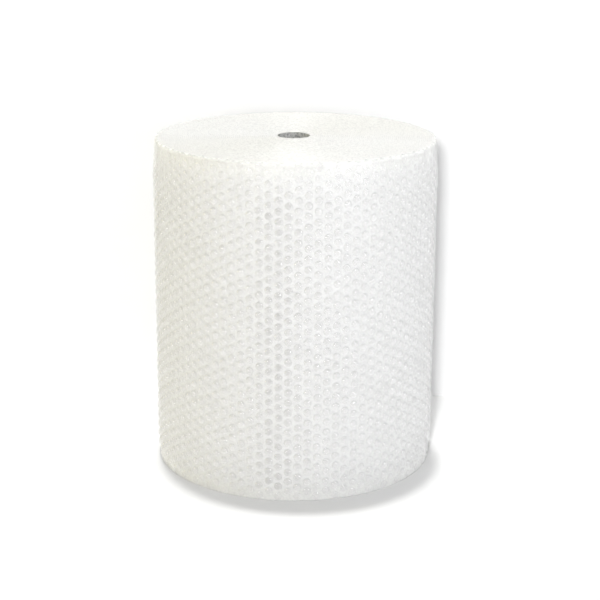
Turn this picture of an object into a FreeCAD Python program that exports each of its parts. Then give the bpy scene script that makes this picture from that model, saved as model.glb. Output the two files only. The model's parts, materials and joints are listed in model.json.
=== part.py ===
"""A roll of bubble wrap that stands on its end.

The roll is one long sheet of film, wound on a mandrel that was then drawn out, so that
a plain round hole is left along its middle and there is no core tube. The sheet carries
rows of air bubbles on its outer side. They run up the roll in close columns, and each
column stands out of the outer turn as one rounded ridge.

Looked at from above, the sheet winds outwards and anticlockwise. Each turn that is drawn
inside the roll is a bundle of several real turns pressed together, with a fine gap to the
next one. The last turn thins down to the true thickness of one sheet, and it ends at the
tail, a plain cut edge at the back of the roll.

The origin is on the hole's axis, in the plane that the roll stands on. +Z is up, along
the hole, and the tail is towards +Y.
"""

import FreeCAD, Part
import math
import os

from FreeCAD import Vector

doc = FreeCAD.newDocument("bubble_wrap_roll")

# Sizes, in millimetres and degrees

sizes = doc.addObject("Spreadsheet::Sheet", "Sizes")
SIZES = [
    ("roll_width", 500.0, "width of the sheet, which is the height of the standing roll"),
    ("outer_radius", 217.0, "from the hole's axis to the bubbles' crests at the tail"),
    ("bore_radius", 23.5, "radius of the hole that the mandrel leaves"),
    ("bundle_step", 18.6, "wanted step from one drawn turn to the next"),
    ("turn_gap", 0.4, "gap between one drawn turn and the next"),
    ("film_thickness", 1.0, "the sheet between two columns of bubbles"),
    ("bubble_height", 3.3, "a crest above the groove between two columns of bubbles"),
    ("column_pitch", 13.95, "wanted distance along the sheet from column to column"),
    ("tail_direction", 100.0, "where the sheet ends, from +X towards +Y"),
]
for row, (alias, value, note) in enumerate(SIZES, start=1):
    sizes.set(f"A{row}", alias)
    sizes.set(f"B{row}", str(value))
    sizes.set(f"C{row}", note)
    sizes.setAlias(f"B{row}", alias)
doc.recompute()

# The winding, seen from above: how far each side of the sheet is from the axis

FULL_TURN = 2 * math.pi
ARCS_PER_TURN = 4

film_thickness = sizes.film_thickness
bubble_height = sizes.bubble_height
turn_gap = sizes.turn_gap
sheet_thickness = film_thickness + bubble_height
last_step = sheet_thickness + turn_gap
wound_depth = sizes.outer_radius - sheet_thickness - sizes.bore_radius
turn_count = max(2, round(wound_depth / sizes.bundle_step))
bundle_step = wound_depth / turn_count
last_turn_start = FULL_TURN * (turn_count - 1)
tail_angle = FULL_TURN * turn_count


def crest_radius(angle):
    """Radius of the sheet's outer side, or of its crests in the last turn."""
    if angle <= last_turn_start:
        return sizes.bore_radius + bundle_step * (1 + angle / FULL_TURN) - turn_gap
    share = (angle - last_turn_start) / FULL_TURN
    return crest_radius(last_turn_start) + last_step * share


def valley_radius(angle):
    """Radius of the sheet's outer side between two columns of bubbles."""
    return crest_radius(angle) - bubble_height


def inner_radius(angle):
    """Radius of the sheet's inner side, one gap outside the turn beneath."""
    return crest_radius(angle - FULL_TURN) + turn_gap


def point(radius, angle):
    """A point of the plan. Angles are wound from the sheet's leading edge."""
    turned = angle + math.radians(sizes.tail_direction)
    return Vector(radius * math.cos(turned), radius * math.sin(turned), 0)


def spiral_edges(radius_at, start, turns):
    """Arcs that follow one side of the sheet outwards."""
    step = FULL_TURN / ARCS_PER_TURN
    edges = []
    for index in range(turns * ARCS_PER_TURN):
        angles = [start + step * (index + share) for share in (0, 0.5, 1)]
        edges.append(Part.Arc(*[point(radius_at(a), a) for a in angles]).toShape())
    return edges


def column_crests():
    """Angles of the columns' crests, at an even pitch along the last turn, up to the tail."""
    groove = valley_radius(tail_angle)
    step_per_radian = last_step / FULL_TURN
    turn_length = FULL_TURN * groove - math.pi * last_step
    column_count = round(turn_length / sizes.column_pitch)
    crests = []
    for index in range(column_count + 1):
        to_tail = turn_length * (1 - index / column_count)
        groove_there = math.sqrt(groove**2 - 2 * step_per_radian * to_tail)
        crests.append(tail_angle - (groove - groove_there) / step_per_radian)
    return crests


def ridge_flank(crest_angle, valley_angle):
    """Half of one ridge, between its crest and the valley on one side."""
    half_pitch = abs(valley_angle - crest_angle)
    side = 1 if valley_angle > crest_angle else -1
    crest = crest_radius(crest_angle)
    valley = crest - bubble_height
    across = valley * math.sin(half_pitch)
    along = valley * math.cos(half_pitch)
    centre = (crest**2 - valley**2) / (2 * (crest - along))
    round_radius = crest - centre
    half_sweep = math.atan2(across, along - centre) / 2
    out = centre + round_radius * math.cos(half_sweep)
    sideways = round_radius * math.sin(half_sweep)
    middle_angle = crest_angle + side * math.atan2(sideways, out)
    points = [
        point(crest, crest_angle),
        point(math.hypot(out, sideways), middle_angle),
        point(valley_radius(valley_angle), valley_angle),
    ]
    return Part.Arc(*points[::side]).toShape()


def ridge_edges():
    """The columns of bubbles round the last turn. It starts and ends on a crest."""
    crests = column_crests()
    valleys = [(this + following) / 2 for this, following in zip(crests, crests[1:])]
    edges = [ridge_flank(crests[0], valleys[0])]
    for crest, before, after in zip(crests[1:], valleys, valleys[1:]):
        ridge = Part.Arc(
            point(valley_radius(before), before),
            point(crest_radius(crest), crest),
            point(valley_radius(after), after),
        )
        edges.append(ridge.toShape())
    edges.append(ridge_flank(crests[-1], valleys[-1]))
    return edges


def winding_plan():
    """The sheet's edge, as it shows at the end of the roll, down to the axis."""
    outer_side = spiral_edges(crest_radius, 0, turn_count - 1) + ridge_edges()
    inner_side = spiral_edges(inner_radius, FULL_TURN, turn_count - 1)
    tail = Part.makeLine(
        point(crest_radius(tail_angle), tail_angle),
        point(inner_radius(tail_angle), tail_angle),
    )
    gap_end = Part.makeLine(
        point(inner_radius(FULL_TURN), FULL_TURN), point(crest_radius(0), 0)
    )
    edges = outer_side + [tail] + inner_side[::-1] + [gap_end]
    return Part.Face(Part.Wire(Part.__sortEdges__(edges)))


plan = doc.addObject("Part::Feature", "winding_plan")
plan.Label = "winding plan"
plan.Shape = winding_plan()

winding = doc.addObject("Part::Extrusion", "winding")
winding.Label = "winding"
winding.Base = plan
winding.Dir = Vector(0, 0, 1)
winding.DirMode = "Custom"
winding.Solid = True
winding.setExpression("LengthFwd", "Sizes.roll_width")

# The roll: the wound sheet with the hole that the mandrel leaves

mandrel = doc.addObject("Part::Cylinder", "mandrel")
mandrel.Label = "mandrel"
mandrel.setExpression("Radius", "Sizes.bore_radius")
mandrel.setExpression("Height", "Sizes.roll_width")

roll = doc.addObject("Part::Cut", "bubble_wrap_roll")
roll.Label = "bubble_wrap_roll"
roll.Base = winding
roll.Tool = mandrel
doc.recompute()

for item in doc.Objects:
    if "Invalid" in item.State or "Error" in item.State:
        raise RuntimeError(f"{item.Label} failed: {item.State}")
if roll.Shape.isNull() or not roll.Shape.isValid():
    raise RuntimeError("the roll has no valid shape")
if len(roll.Shape.Solids) != 1:
    raise RuntimeError(f"the roll is in {len(roll.Shape.Solids)} pieces, and it is one sheet")

os.makedirs("parts", exist_ok=True)
roll.Shape.exportStep(f"parts/{roll.Label}.step")
print("turns drawn", turn_count, "step", round(bundle_step, 3), "columns", len(column_crests()) - 1)
print("volume in litres", round(roll.Shape.Volume / 1e6, 3), "faces", len(roll.Shape.Faces))
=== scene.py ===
"""The looks of the bubble wrap roll, built in the frame of its CAD solid.

The film lies in layers, as on the real roll. The outer turn is a clear sheet with
separate bubbles on it, in staggered columns. The turn beneath shows through it with its
own bubbles, at the same spacing along the sheet, so that the two patterns fall in and out
of step round the roll. Everything further in is one milky body, whose ends show the
crumpled edges of the turns. All lengths are in metres.
"""

import json
import math

import bpy
import numpy as np
from mathutils import Matrix, Vector


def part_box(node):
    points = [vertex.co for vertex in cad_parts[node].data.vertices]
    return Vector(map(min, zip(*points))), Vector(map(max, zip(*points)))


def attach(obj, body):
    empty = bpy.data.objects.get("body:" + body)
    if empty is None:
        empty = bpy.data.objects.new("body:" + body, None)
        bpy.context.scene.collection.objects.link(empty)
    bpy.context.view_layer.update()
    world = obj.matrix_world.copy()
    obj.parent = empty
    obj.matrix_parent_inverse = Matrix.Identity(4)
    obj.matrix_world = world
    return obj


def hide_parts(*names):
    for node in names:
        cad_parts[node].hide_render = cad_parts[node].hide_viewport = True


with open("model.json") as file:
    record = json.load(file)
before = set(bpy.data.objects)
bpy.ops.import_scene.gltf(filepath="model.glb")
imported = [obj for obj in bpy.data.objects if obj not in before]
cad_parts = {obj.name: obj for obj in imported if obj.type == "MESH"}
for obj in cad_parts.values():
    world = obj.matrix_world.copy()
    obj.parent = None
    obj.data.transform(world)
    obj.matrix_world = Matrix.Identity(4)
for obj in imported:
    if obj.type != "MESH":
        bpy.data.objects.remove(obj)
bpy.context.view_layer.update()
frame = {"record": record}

# Sizes

MM = 0.001
NODE = "bubble_wrap_roll"
FULL_TURN = 2 * math.pi

node_low, node_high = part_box(NODE)
HEIGHT = node_high.z - node_low.z
BORE = next(m for m in frame["record"]["mounts"] if m["name"] == "core_bore")
BORE_RADIUS = BORE["dims"]["r_mm"] * MM

TAIL_RADIUS = 216.9 * MM       # the bubbles' crests where the sheet ends
TAIL_DIRECTION = math.radians(100)
LAYER_STEP = 4.6 * MM          # from the outer turn to the one beneath
PACKED_STEP = 2.9 * MM         # from turn to turn deeper in the roll

BUBBLE_RADIUS = 6.25 * MM
BUBBLE_HEIGHT = 3.5 * MM
BURIED_HEIGHT = 3.2 * MM       # bubbles of the turn beneath, pressed flatter
COLUMN_PITCH = 13.94 * MM      # along the sheet
ROW_PITCH = 15.15 * MM         # up the roll
END_MARGIN = 7.6 * MM          # from the film's cut edge to the nearest bubble's middle

TOP_SHOULDER = 7.0 * MM
BASE_SHOULDER = 1.5 * MM
FADE_START = 4.0 * MM          # from the top to where the bubbles begin to rise
FADE_HEIGHT = 50.0 * MM        # from there to where they have their full height
BASE_FADE = 22.0 * MM          # height over which they rise from the base
IN_STEP_DIRECTION = math.radians(-97.5)    # where the columns of two turns fall in step, and the bubble tops get the most painted shade
IN_STEP_SHARPNESS = 60.0       # the larger, the narrower the strip of bubbles with darker painted tops there

rng = np.random.default_rng(41)

# The winding


def crest_radius(back):
    """Radius of the bubbles' crests, at an angle wound back from the tail."""
    return TAIL_RADIUS - LAYER_STEP * back / FULL_TURN


def angle_along(length):
    """Angle wound back from the tail, after a length of sheet."""
    per_radian = LAYER_STEP / FULL_TURN
    middle = TAIL_RADIUS - BUBBLE_HEIGHT
    return (middle - np.sqrt(middle**2 - 2 * per_radian * length)) / per_radian


def shoulder_drop(z):
    """How far the outer turns curl in near the two ends, and the slope of that curl."""
    from_top = np.clip((z - (HEIGHT - TOP_SHOULDER)) / TOP_SHOULDER, 0, 0.995)
    from_base = np.clip((BASE_SHOULDER - z) / BASE_SHOULDER, 0, 0.995)
    drop = TOP_SHOULDER * (1 - np.sqrt(1 - from_top**2))
    drop = drop + BASE_SHOULDER * (1 - np.sqrt(1 - from_base**2))
    slope = from_top / np.sqrt(1 - from_top**2) - from_base / np.sqrt(1 - from_base**2)
    return drop, slope


def sway(azimuth, z):
    """The roll isn't wound perfectly round: hollows of up to about a millimetre."""
    share = z / HEIGHT
    wave = np.sin(3 * azimuth + 2.1 * share + 0.4)
    wave = wave + 0.7 * np.sin(7 * azimuth - 5.0 * share + 1.9)
    wave = wave + 0.5 * np.sin(11 * azimuth + 9.0 * share + 4.2)
    return -0.35 * MM * (1.1 - wave / 2)


def azimuth_of(back):
    """Direction from the axis, of an angle wound back from the tail."""
    return TAIL_DIRECTION - back


def around(radius, azimuth, z):
    """Points at these radii, directions and heights, as one array of rows."""
    columns = np.broadcast_arrays(radius * np.cos(azimuth), radius * np.sin(azimuth), z)
    return np.stack(columns, axis=-1).reshape(-1, 3)


# Meshes


def make_piece(name, points, faces, material):
    """A smooth piece of the roll that stands for the CAD node."""
    mesh = bpy.data.meshes.new(name)
    mesh.from_pydata(points.tolist(), [], faces)
    mesh.polygons.foreach_set("use_smooth", [True] * len(mesh.polygons))
    mesh.materials.append(material)
    mesh.update()
    piece = bpy.data.objects.new(name, mesh)
    bpy.context.collection.objects.link(piece)
    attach(piece, "root")
    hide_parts(NODE)
    return piece


def grid_faces(rows, columns, closed=False):
    """Quads of a grid of points, stored row after row. A closed one joins its last row to its first."""
    row = np.arange(rows if closed else rows - 1)[:, None]
    column = np.arange(columns - 1)[None, :]
    this = row * columns + column
    following = (row + 1) % rows * columns + column
    quads = np.stack([this, following, following + 1, this + 1], axis=-1)
    return quads.reshape(-1, 4).tolist()


# A bubble's outline, from its foot to its top: share of its radius, share of its height
BUBBLE_PROFILE = [(1.0, -0.06), (0.9, 0.38), (0.7, 0.76), (0.4, 0.95)]
BURIED_PROFILE = [(1.0, -0.06), (0.86, 0.62)]


def bubble_template(profile, around_count):
    """Points and faces of one bubble of radius 1 and height 1, round the third axis."""
    turn = np.arange(around_count) * FULL_TURN / around_count
    rings = [
        np.stack([r * np.cos(turn), r * np.sin(turn), np.full(around_count, h)], axis=1)
        for r, h in profile
    ]
    points = np.concatenate(rings + [np.array([[0.0, 0.0, 1.0]])])
    faces = []
    for ring in range(len(profile) - 1):
        start = ring * around_count
        for index in range(around_count):
            beside = (index + 1) % around_count
            faces.append(
                [
                    start + index,
                    start + beside,
                    start + around_count + beside,
                    start + around_count + index,
                ]
            )
    top = len(points) - 1
    last = (len(profile) - 1) * around_count
    caps = [[last + i, last + (i + 1) % around_count, top] for i in range(around_count)]
    return points, faces + caps


def bubble_places(first_length, last_length, parity):
    """Where the bubbles stand: angle back from the tail, and height, for every second column."""
    columns = np.arange(math.ceil(first_length / COLUMN_PITCH), int(last_length / COLUMN_PITCH) + 1)
    columns = columns[columns % 2 == parity]
    rows = int((HEIGHT - 2 * END_MARGIN) / ROW_PITCH) + 1
    first_row = (HEIGHT - (rows - 1) * ROW_PITCH) / 2
    heights = first_row + np.arange(rows) * ROW_PITCH
    if parity:
        heights = heights[:-1] + ROW_PITCH / 2
    lengths, z = np.meshgrid(columns * COLUMN_PITCH, heights, indexing="ij")
    lengths = lengths.ravel() + rng.normal(0, 0.25 * MM, lengths.size)
    z = z.ravel() + rng.normal(0, 0.25 * MM, z.size)
    return angle_along(lengths), z


def bubbles(name, places, height, profile, around_count, material):
    """Bubbles on the sheet, each a little different: squashed, tilted or dented."""
    back, z = places
    count = len(back)
    template, template_faces = bubble_template(profile, around_count)
    radius = BUBBLE_RADIUS * rng.uniform(0.95, 1.03, count)
    tall = height * np.clip(rng.normal(0.93, 0.05, count), 0.7, 1.0)
    drop, slope = shoulder_drop(z)
    fade = np.minimum((HEIGHT - z - FADE_START) / FADE_HEIGHT, z / BASE_FADE)
    fade = np.clip(fade, 0.05, 1)
    tall = tall * fade
    dent = np.where(rng.random(count) < 0.3, rng.uniform(0.1, 0.45, count), 0.03)
    lean = rng.normal(0, 0.07, (count, 2))

    local = np.repeat(template[None], count, axis=0)
    local[:, :, 2] += rng.normal(0, 0.03, local.shape[:2]) * (local[:, :, 2] > 0.5)
    local[:, -1, 2] -= dent
    local[:, :, 2] += (local[:, :, 2] > 0.3) * (local[:, :, :2] * lean[:, None, :]).sum(axis=2)
    local[:, :, 2] = np.minimum(local[:, :, 2], 1.0)

    azimuth = azimuth_of(back)
    foot = crest_radius(back) - height - drop + sway(azimuth, z)
    foot_points = around(foot, azimuth, z)
    outward = np.stack([np.cos(azimuth), np.sin(azimuth), slope], axis=1)
    outward /= np.linalg.norm(outward, axis=1, keepdims=True)
    sideways = np.stack([-np.sin(azimuth), np.cos(azimuth), np.zeros(count)], axis=1)
    upward = np.cross(outward, sideways)

    points = foot_points[:, None, :] + (local[:, :, 0] * radius[:, None])[..., None] * sideways[:, None]
    points = points + (local[:, :, 1] * radius[:, None])[..., None] * upward[:, None]
    points = points + (local[:, :, 2] * tall[:, None])[..., None] * outward[:, None]
    size = len(template)
    faces = [[vertex + size * index for vertex in face] for index in range(count) for face in template_faces]
    piece = make_piece(name, points.reshape(-1, 3), faces, material)
    # Painted shade at the bubble tops: strongest in the strip where the two turns' columns fall in step,
    # weaker where the bubbles fade, and a little different from bubble to bubble.
    painted_shade_mask = piece.data.attributes.new("painted_shade_mask", "FLOAT", "POINT")
    in_step = np.exp(IN_STEP_SHARPNESS * (np.cos(azimuth - IN_STEP_DIRECTION) - 1))
    top_shade_strength = fade * (0.7 * rng.uniform(0.6, 1.0, count) + 0.42 * in_step)
    painted_shade_mask.data.foreach_set("value", (top_shade_strength[:, None] * template[None, :, 2]).ravel())
    return piece


def crumple(length, seed):
    """Smooth waves between -1 and 1 along a turn's edge, about a bubble long."""
    phases = np.random.default_rng(seed).uniform(0, FULL_TURN, 3)
    wave = np.sin(FULL_TURN * length / (14.0 * MM) + phases[0])
    wave = wave + 0.8 * np.sin(FULL_TURN * length / (23.0 * MM) + phases[1])
    wave = wave + 0.6 * np.sin(FULL_TURN * length / (9.0 * MM) + phases[2])
    return wave / 2.4


FILM_END = 1.3 * MM            # how far the outer turn's edge stays below the roll's end


def outer_film(material):
    """The sheet of the outer turn, from the tail back to where it goes under itself."""
    steps = 840
    back = np.linspace(0, FULL_TURN, steps)[:, None]
    base = np.linspace(0.2 * MM, BASE_SHOULDER, 6)
    side = np.linspace(BASE_SHOULDER, HEIGHT - TOP_SHOULDER, 45)[1:]
    uneven = FILM_END * (1.15 + crumple(back * TAIL_RADIUS, 3))
    curl = np.sin(np.linspace(0, math.pi / 2, 9)[1:])
    rim = HEIGHT - TOP_SHOULDER + (TOP_SHOULDER - uneven) * curl
    upright = np.tile(np.concatenate([base, side]), (steps, 1))
    z = np.concatenate([upright, rim], axis=1)
    drop, slope = shoulder_drop(z)
    azimuth = azimuth_of(back)
    radius = crest_radius(back) - BUBBLE_HEIGHT - drop + sway(azimuth, z)
    points = around(radius, azimuth, z)
    return make_piece("outer_film", points, grid_faces(steps, z.shape[1]), material)


def wound_body(material):
    """The turns under the two that show one by one, as one milky wall with a step at the tail."""
    steps = 360
    back = np.linspace(0, FULL_TURN, steps)[:, None]
    z = np.linspace(1.0 * MM, HEIGHT - TOP_SHOULDER, 60)[None, :]
    azimuth = azimuth_of(back)
    radius = crest_radius(back + FULL_TURN) - BURIED_HEIGHT + sway(azimuth, z)
    drop, slope = shoulder_drop(z)
    points = around(radius - drop, azimuth, z)
    return make_piece("wound_body", points, grid_faces(steps, z.shape[1], closed=True), material)


# The ends of the roll


# Across one turn: share of the step, and share of the valley's depth below the film's edge
TURN_SECTION = [(0.0, 0.0), (0.16, 0.0), (0.55, 1.0)]
VALLEY_DEPTH = 2.8 * MM
HOLE_LIP = 3.0 * MM            # how far the film's edges lean into the hole, on its right
HOLE_FLARE = 2.0 * MM          # how far they lean away from it, on its left
FILM_GAP = 0.25 * MM           # from the outer turn's film to the edges beneath it
RIM_OVERLAP = 18.0 * MM        # how far the edges go on down behind that film
RIM_DIVE = 5.0 * MM            # how far they lean inwards on that way


def roll_end(name, is_top, material):
    """The edges of all the turns at one end: a spiral of crumpled ridges with valleys between them."""
    shoulder = TOP_SHOULDER if is_top else BASE_SHOULDER
    film_at_tail = TAIL_RADIUS - BUBBLE_HEIGHT - FILM_GAP
    inner = BORE_RADIUS - HOLE_LIP
    last_turn = film_at_tail - LAYER_STEP - PACKED_STEP
    turns = round((last_turn - inner) / PACKED_STEP) + 1
    per_turn = 300
    steps = turns * per_turn + 1
    winding = np.linspace(0, turns * FULL_TURN, steps)
    knots = [0, (turns - 1) * FULL_TURN, turns * FULL_TURN]
    middle = np.interp(winding, knots, [inner, last_turn, last_turn + LAYER_STEP])
    length = winding * middle / 2
    azimuth = azimuth_of(-winding)
    film = film_at_tail - LAYER_STEP * np.mod(-winding, FULL_TURN) / FULL_TURN
    rightward = (0.5 + 0.5 * np.cos(azimuth + 0.5)) ** 2
    lip = BORE_RADIUS + HOLE_FLARE - (HOLE_LIP + HOLE_FLARE) * rightward
    columns = []
    for index, (share, depth) in enumerate(TURN_SECTION):
        across = middle + PACKED_STEP * share
        wander = 0.55 * MM * crumple(length, 5) * min(1, depth + 0.75)
        radius = np.clip(across + wander, lip, film)
        edge = np.clip((radius - (film - shoulder)) / shoulder, 0, 0.98)
        fall = shoulder * (1 - np.sqrt(1 - edge**2))
        inside = 1 - 0.9 * edge
        dip = depth * VALLEY_DEPTH * (0.75 + 0.5 * crumple(length, 11)) * inside
        rough = 0.35 * MM * (1 + crumple(length * 1.7, 17 + index)) * inside
        down = dip + rough + fall + 0.3 * MM
        z = HEIGHT - down if is_top else down
        columns.append(np.stack([radius * np.cos(azimuth), radius * np.sin(azimuth), z], axis=1))
    points = np.stack(columns, axis=1).reshape(-1, 3)
    faces = grid_faces(steps, len(TURN_SECTION))
    this = np.arange(steps - per_turn) * len(TURN_SECTION) + len(TURN_SECTION) - 1
    outward = (np.arange(steps - per_turn) + per_turn) * len(TURN_SECTION)
    joins = np.stack([this, this + len(TURN_SECTION), outward + len(TURN_SECTION), outward], axis=1)
    faces += joins[:-1].tolist()
    rim = film[-per_turn - 1 :] - RIM_DIVE
    rim_azimuth = azimuth[-per_turn - 1 :]
    rim_depth = shoulder + RIM_OVERLAP
    rim_points = around(rim, rim_azimuth, HEIGHT - rim_depth if is_top else rim_depth)
    above = np.arange(steps - per_turn - 1, steps) * len(TURN_SECTION) + len(TURN_SECTION) - 1
    below = np.arange(per_turn + 1) + len(points)
    faces += np.stack([above[:-1], above[1:], below[1:], below[:-1]], axis=1).tolist()
    step_at_tail = [above[0], above[-1] - 2, above[-1] - 1, above[-1], below[-1], below[0]]
    faces.append([int(vertex) for vertex in step_at_tail])
    points = np.concatenate([points, rim_points])
    if not is_top:
        faces = [face[::-1] for face in faces]
    piece = make_piece(name, points, faces, material)
    # The valleys' share of depth masks their painted shade; the skirt round the rim and its top edge get
    # none.
    depths = np.tile([depth for share, depth in TURN_SECTION], steps)
    depths[above] = 0
    painted_shade_mask = piece.data.attributes.new("painted_shade_mask", "FLOAT", "POINT")
    painted_shade_mask.data.foreach_set("value", np.concatenate([depths, np.zeros(len(rim_points))]))
    return piece


def hole_wall(material):
    """The innermost turn, seen down the hole: flat film over the bubbles behind it."""
    steps = 120
    azimuth = np.linspace(0, FULL_TURN, steps, endpoint=False)[:, None]
    z = np.linspace(1.5 * MM, HEIGHT - 1.5 * MM, 160)[None, :]
    column = azimuth * BORE_RADIUS / COLUMN_PITCH * 1.06
    row = z / ROW_PITCH + 0.5 * (np.floor(column) % 2)
    dimple = np.cos(FULL_TURN * column) * np.cos(FULL_TURN * row)
    radius = BORE_RADIUS + 0.35 * MM + 0.3 * MM * dimple
    points = around(radius, azimuth, z)
    faces = [face[::-1] for face in grid_faces(steps, z.shape[1], closed=True)]
    return make_piece("hole_wall", points, faces, material)


# Materials


def tinted(nodes, links, factor, first, second):
    """A mix of two colours: the second where the factor is one. Either may be a socket."""
    mix = nodes.new("ShaderNodeMix")
    mix.data_type = "RGBA"
    links.new(factor, mix.inputs[0])
    for socket, colour in ((mix.inputs[6], first), (mix.inputs[7], second)):
        if isinstance(colour, tuple):
            socket.default_value = (*colour, 1)
        else:
            links.new(colour, socket)
    return mix.outputs[2]


def noise(nodes, links, place, size, detail):
    """Cloudy noise whose patches are about this long, in metres."""
    texture = nodes.new("ShaderNodeTexNoise")
    texture.inputs["Scale"].default_value = 1 / size
    texture.inputs["Detail"].default_value = detail
    links.new(place.outputs["Object"], texture.inputs["Vector"])
    return texture.outputs["Fac"]


def steepened(nodes, links, value, low, high):
    """A value stretched so that low to high becomes nought to one, with soft ends."""
    stretch = nodes.new("ShaderNodeMapRange")
    stretch.interpolation_type = "SMOOTHSTEP"
    stretch.inputs["From Min"].default_value = low
    stretch.inputs["From Max"].default_value = high
    links.new(value, stretch.inputs["Value"])
    return stretch.outputs["Result"]


def film_material(name, colour, speck_shade, alpha, roughness, wrinkle_size, wrinkle_depth, top=None, shine=0.0):
    """Polyethylene film: milky and pale, with fine creases as bumps, and grey specks of painted crease shade
    at random places.

    A top colour is painted shade, laid on where the painted shade mask is high: the dark seen through the
    bubbles at their tops, or the shade deep in the valleys of the roll's ends.
    Shine adds sharp glints, for the side that faces the light.
    """
    material = bpy.data.materials.new(name)
    material.use_nodes = True
    nodes, links = material.node_tree.nodes, material.node_tree.links
    shader = nodes["Principled BSDF"]
    shader.inputs["Roughness"].default_value = roughness
    shader.inputs["IOR"].default_value = 1.5
    shader.inputs["Alpha"].default_value = alpha
    shader.inputs["Coat Weight"].default_value = shine
    shader.inputs["Coat IOR"].default_value = 2.0
    shader.inputs["Coat Roughness"].default_value = 0.12

    place = nodes.new("ShaderNodeTexCoord")
    cloud = noise(nodes, links, place, 60 * MM, 3)
    yellowed = (colour[0] * 0.99, colour[1] * 0.987, colour[2] * 0.972)
    shade = tinted(nodes, links, cloud, colour, yellowed)
    if top:
        # Painted shade: where the mask is high, the colour goes over to the top colour.
        painted_shade_mask = nodes.new("ShaderNodeAttribute")
        painted_shade_mask.attribute_name = "painted_shade_mask"
        painted_shade_share = steepened(nodes, links, painted_shade_mask.outputs["Fac"], 0.6, 1.0)
        shade = tinted(nodes, links, painted_shade_share, shade, top)
    # Grey specks of painted shade, standing for the shade in fine creases, at random places.
    shade_specks = steepened(nodes, links, noise(nodes, links, place, wrinkle_size, 3), 0.42, 0.62)
    shade = tinted(nodes, links, shade_specks, shade, speck_shade)
    links.new(shade, shader.inputs["Base Color"])

    bump = nodes.new("ShaderNodeBump")
    bump.inputs["Strength"].default_value = 1.0
    bump.inputs["Distance"].default_value = wrinkle_depth
    links.new(noise(nodes, links, place, wrinkle_size * 1.4, 4), bump.inputs["Height"])
    links.new(bump.outputs["Normal"], shader.inputs["Normal"])
    return material


def build_roll():
    """All the pieces of the roll."""
    white = (0.97, 0.97, 0.97)
    grey = (0.88, 0.88, 0.88)
    # Painted shade: the dark seen through the clear bubbles at their tops.
    top = (0.25, 0.25, 0.25)
    clear = film_material("clear_bubbles", white, grey, 0.22, 0.25, 3 * MM, 0.9 * MM, top, 1.0)
    # Painted shade at the tops of the buried bubbles, seen through the outer turn.
    top = (0.5, 0.5, 0.5)
    buried = film_material("buried_bubbles", white, grey, 0.9, 0.4, 3 * MM, 0.5 * MM, top)
    sheet = film_material("flat_film", white, grey, 0.36, 0.32, 3 * MM, 1.0 * MM)
    milky = film_material("milky_turns", white, grey, 1.0, 0.6, 4 * MM, 0.6 * MM)
    # Painted shade deep in the valleys between the edges of the turns.
    valley_shade = (0.58, 0.58, 0.57)
    white, grey = (0.98, 0.98, 0.965), (0.84, 0.84, 0.825)
    edges = film_material("film_edges", white, grey, 1.0, 0.3, 3 * MM, 0.6 * MM, valley_shade)
    # The lining's dark grey specks are painted mottled shade.
    lining = film_material("hole_film", (0.90, 0.90, 0.89), (0.50, 0.50, 0.50), 1.0, 0.25, 3 * MM, 0.8 * MM)

    one_turn = 2 * math.pi * (TAIL_RADIUS - BUBBLE_HEIGHT - LAYER_STEP / 2)
    two_turns = 2 * one_turn - 2 * math.pi * LAYER_STEP
    for parity, word in ((0, "even"), (1, "odd")):
        places = bubble_places(COLUMN_PITCH / 2, one_turn, parity)
        bubbles(f"outer_bubbles_{word}", places, BUBBLE_HEIGHT, BUBBLE_PROFILE, 12, clear)
        places = bubble_places(one_turn, two_turns, parity)
        bubbles(f"buried_bubbles_{word}", places, BURIED_HEIGHT, BURIED_PROFILE, 10, buried)
    outer_film(sheet)
    wound_body(milky)
    roll_end("top_turns", True, edges)
    roll_end("base_turns", False, edges)
    hole_wall(lining)


# The stage

OVERHEAD = (-0.022, 0.097, 1.0)     # where the lamp over the roll is, a little behind it


def stage_plane(name, corners, colour, glow_level, bounce_level):
    """A pale plane that keeps the roll's shadow and is white to the camera elsewhere.

    Its bounce level is the light that it gives the roll, besides what it reflects.
    It is clear from behind, so that it never hides the roll.
    """
    mesh = bpy.data.meshes.new(name)
    mesh.from_pydata(corners, [], [[0, 1, 2, 3]])
    plane = bpy.data.objects.new(name, mesh)
    bpy.context.collection.objects.link(plane)
    material = bpy.data.materials.new(f"{name}_white")
    material.use_nodes = True
    nodes, links = material.node_tree.nodes, material.node_tree.links
    shader = nodes["Principled BSDF"]
    shader.inputs["Base Color"].default_value = (*colour, 1)
    shader.inputs["Roughness"].default_value = 1.0
    shader.inputs["Specular IOR Level"].default_value = 0.0
    shader.inputs["Emission Color"].default_value = (1, 1, 1, 1)
    path = nodes.new("ShaderNodeLightPath")
    glow = nodes.new("ShaderNodeMapRange")
    glow.inputs["To Min"].default_value = bounce_level
    glow.inputs["To Max"].default_value = glow_level
    links.new(path.outputs["Is Camera Ray"], glow.inputs["Value"])
    links.new(glow.outputs["Result"], shader.inputs["Emission Strength"])
    side = nodes.new("ShaderNodeNewGeometry")
    clear = nodes.new("ShaderNodeBsdfTransparent")
    choice = nodes.new("ShaderNodeMixShader")
    links.new(side.outputs["Backfacing"], choice.inputs[0])
    links.new(shader.outputs[0], choice.inputs[1])
    links.new(clear.outputs[0], choice.inputs[2])
    links.new(choice.outputs[0], nodes["Material Output"].inputs["Surface"])
    mesh.materials.append(material)
    return plane


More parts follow.
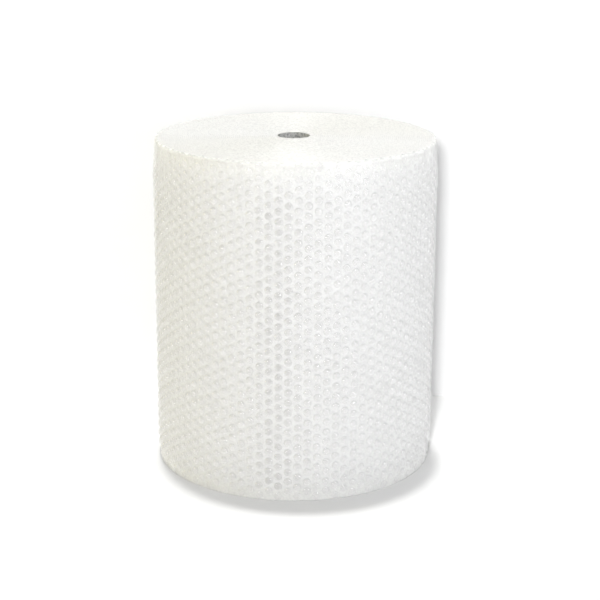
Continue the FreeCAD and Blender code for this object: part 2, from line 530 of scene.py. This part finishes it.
def white_surfaces():
    """The floor, and the backdrop close behind the roll, each with the lamp that casts its shadow."""
    reach = 30.0
    floor = [(-reach, -reach, 0), (reach, -reach, 0), (reach, reach, 0), (-reach, reach, 0)]
    floor_plane = stage_plane("floor", floor, (0.35, 0.35, 0.35), 0.0, 0.12)
    light_only(sun("floor_shadow", OVERHEAD, 2.4, 3.4, (1, 1, 1)), floor_plane)
    light_only(sun("floor_back_shadow", (-0.16, -1.0, 0.24), 14.5, 4.0, (1, 1, 1)), floor_plane)
    behind = 0.24
    wide = 2.0
    tall = 1.6
    backdrop = [(-wide, behind, 0), (wide, behind, 0), (wide, behind, tall), (-wide, behind, tall)]
    backdrop_plane = stage_plane("backdrop", backdrop, (0.5, 0.5, 0.5), 0.08, 0.0)
    backdrop_plane.visible_shadow = False
    light_only(sun("backdrop_shadow", (-0.133, -1.0, 0.265), 3.35, 5.7, (1, 1, 1)), backdrop_plane)


def white_world(ambient):
    """A white surround to the camera. To the roll it is plainer, and warmer on the left."""
    world = bpy.data.worlds.new("surround")
    world.use_nodes = True
    nodes, links = world.node_tree.nodes, world.node_tree.links
    direction = nodes.new("ShaderNodeTexCoord")
    split = nodes.new("ShaderNodeSeparateXYZ")
    links.new(direction.outputs["Generated"], split.inputs[0])
    leftward = steepened(nodes, links, split.outputs["X"], -0.95, -0.35)
    surround = tinted(nodes, links, leftward, (0.76, 0.70, 0.28), (1.0, 1.0, 1.0))
    path = nodes.new("ShaderNodeLightPath")
    colour = tinted(nodes, links, path.outputs["Is Camera Ray"], surround, (1.0, 1.0, 1.0))
    background = nodes["Background"]
    links.new(colour, background.inputs["Color"])
    level = nodes.new("ShaderNodeMapRange")
    level.inputs["To Min"].default_value = ambient
    level.inputs["To Max"].default_value = 1.0
    links.new(path.outputs["Is Camera Ray"], level.inputs["Value"])
    links.new(level.outputs["Result"], background.inputs["Strength"])
    bpy.context.scene.world = world


def light_only(lamp, receiver):
    """Keeps a lamp's light to one object. Everything still casts its shadow there."""
    receivers = bpy.data.collections.new(f"lit_by_{lamp.name}")
    receivers.objects.link(receiver)
    lamp.light_linking.receiver_collection = receivers


def aim(thing, target):
    """Turns a lamp so that it points at a place."""
    thing.rotation_euler = (Vector(target) - thing.location).to_track_quat("-Z", "Y").to_euler()


def sun(name, source, strength, spread, colour):
    """A distant lamp in the direction of source."""
    lamp = bpy.data.lights.new(name, "SUN")
    lamp.energy = strength
    lamp.angle = math.radians(spread)
    lamp.color = colour
    thing = bpy.data.objects.new(name, lamp)
    bpy.context.collection.objects.link(thing)
    thing.location = source
    aim(thing, (0, 0, 0))
    return thing


def softbox(name, place, power, size, colour):
    """A square studio lamp that faces the middle of the roll."""
    lamp = bpy.data.lights.new(name, "AREA")
    lamp.energy = power
    lamp.size = size
    lamp.color = colour
    thing = bpy.data.objects.new(name, lamp)
    bpy.context.collection.objects.link(thing)
    thing.location = place
    aim(thing, (0, 0, HEIGHT / 2))


def photo_camera():
    """The camera, where a fit to the roll's outline in the photograph puts it."""
    lens_pixels = 1543.0
    frame_pixels = 600.0
    place = (9.0 * MM, -2278.7 * MM, 920.9 * MM)
    pitch_down = math.radians(16.57)
    roll = math.radians(0.34)
    data = bpy.data.cameras.new("photo_camera")
    data.sensor_width = 36.0
    data.lens = data.sensor_width * lens_pixels / frame_pixels
    camera = bpy.data.objects.new("photo_camera", data)
    bpy.context.collection.objects.link(camera)
    tilt = Matrix.Rotation(math.pi / 2 - pitch_down, 4, "X") @ Matrix.Rotation(roll, 4, "Z")
    camera.matrix_world = Matrix.Translation(place) @ tilt
    bpy.context.scene.camera = camera


def light_stage():
    """The white surfaces, the surround and the lamps."""
    white_surfaces()
    white_world(0.265)
    sun("overhead", OVERHEAD, 1.53, 3.4, (1, 0.995, 0.975))
    softbox("right_front", (1.6, -1.8, 0.8), 16.5, 0.7, (0.95, 0.97, 1.0))
    softbox("middle_front", (0.3, -2.4, 1.2), 0.8, 0.6, (0.98, 0.985, 1.0))
    softbox("left_front", (-1.2, -2.1, 0.6), 11, 0.6, (1.0, 0.985, 0.97))
    softbox("left_warm", (-2.2, -0.3, 0.7), 5, 0.9, (1.0, 0.88, 0.3))
    softbox("high_front", (0.12, -0.6, 1.0), 0.8, 0.3, (1.0, 1.0, 1.0))


build_roll()
light_stage()
photo_camera()
bpy.context.scene.view_settings.view_transform = "Standard"
